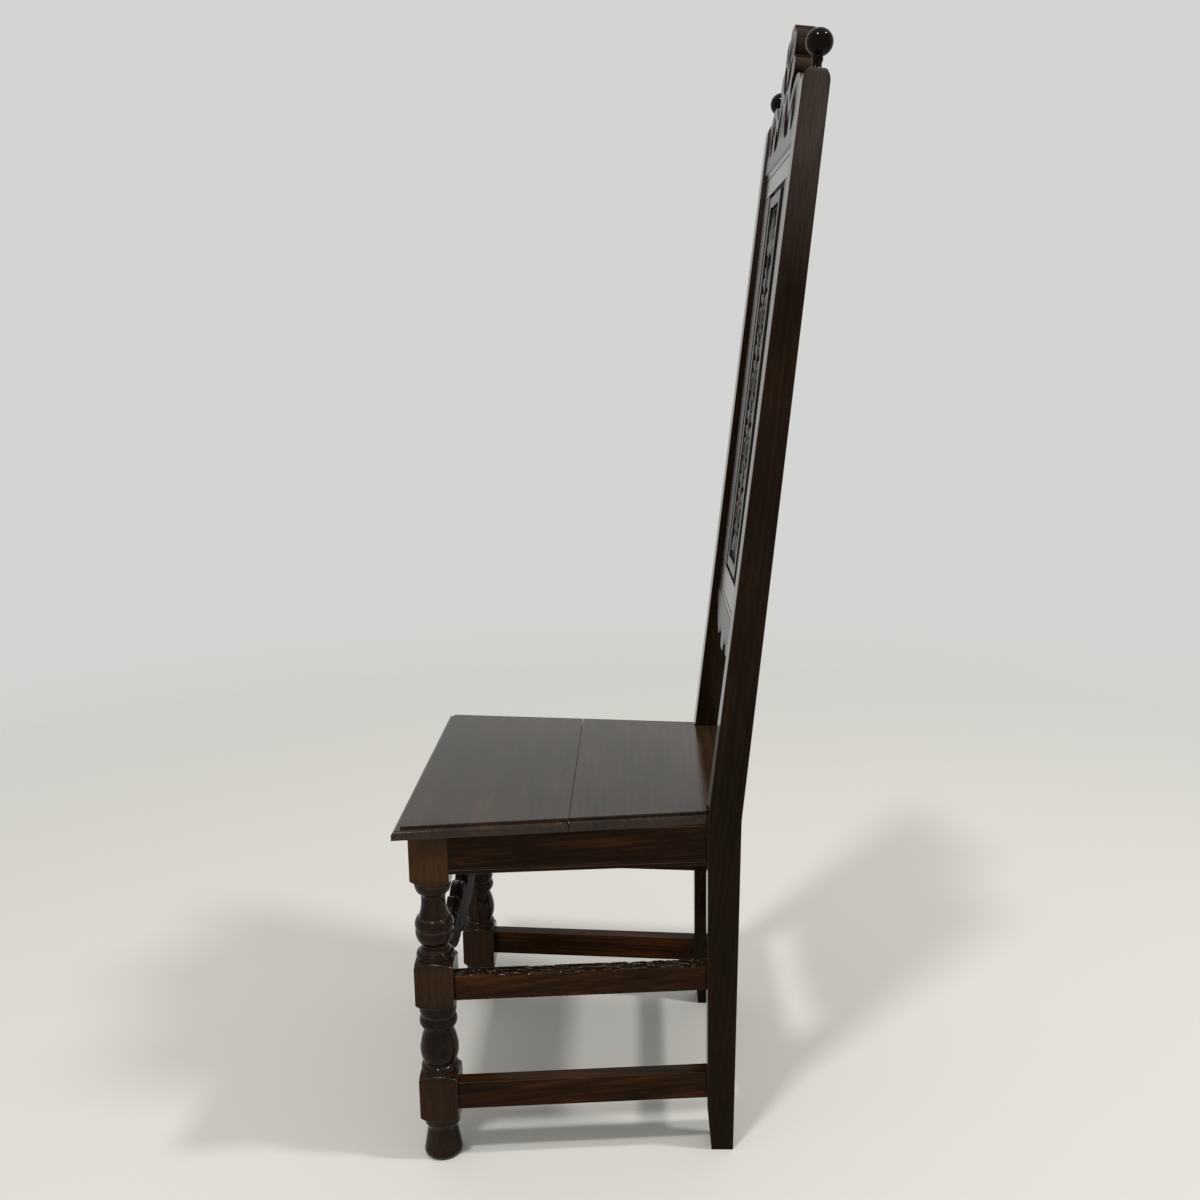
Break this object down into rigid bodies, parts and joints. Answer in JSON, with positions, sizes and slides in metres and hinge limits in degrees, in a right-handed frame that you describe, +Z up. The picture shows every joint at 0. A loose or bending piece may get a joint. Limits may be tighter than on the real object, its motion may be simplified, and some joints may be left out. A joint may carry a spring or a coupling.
{
  "type": "hall chair",
  "caption": "Tall-backed hall chair in dark oak: boarded seat on turned front legs, shaped front stretcher, raked posts with ball finials, carved panel and pierced cresting.",
  "frame": {"origin": "on the floor, at the middle of the chair's width and depth", "axes": "+Z up, -Y to the front of the chair, +X to the sitter's left"},
  "size_m": [0.479, 0.5056, 1.3535],
  "materials": {
    "frame_oak": "dark stained oak, satin polish",
    "turned_oak": "dark stained oak, turned and polished",
    "carved_oak": "dark stained oak, carved and waxed",
    "seat_oak": "dark stained oak boards, polished",
    "block_beech": "raw sawn wood",
    "dowel_oak": "raw oak",
    "screw_steel": "dull steel"
  },
  "bodies": {
    "root": {"apron": "carved_oak", "apron_dowels": "dowel_oak", "back_bottom_rail": "frame_oak", "back_panel": "carved_oak", "back_stile_left": "frame_oak", "back_stile_right": "frame_oak", "back_stretcher": "frame_oak", "back_top_rail": "frame_oak", "corner_block_front_left": "block_beech", "corner_block_front_right": "block_beech", "corner_block_rear_left": "block_beech", "corner_block_rear_right": "block_beech", "cresting": "carved_oak", "cresting_dowels": "dowel_oak", "finial_left": "turned_oak", "finial_right": "turned_oak", "front_leg_left": "turned_oak", "front_leg_right": "turned_oak", "front_stretcher": "carved_oak", "lower_stretcher_left": "frame_oak", "lower_stretcher_right": "frame_oak", "panel_moulding_bottom": "carved_oak", "panel_moulding_left": "carved_oak", "panel_moulding_right": "carved_oak", "panel_moulding_top": "carved_oak", "rear_post_left": "frame_oak", "rear_post_right": "frame_oak", "seat_board_front": "seat_oak", "seat_board_rear": "seat_oak", "seat_rail_back": "frame_oak", "seat_rail_front": "frame_oak", "seat_rail_left": "frame_oak", "seat_rail_right": "frame_oak", "seat_screws": "screw_steel", "upper_stretcher_left": "frame_oak", "upper_stretcher_right": "frame_oak"}
  },
  "joints": []
}
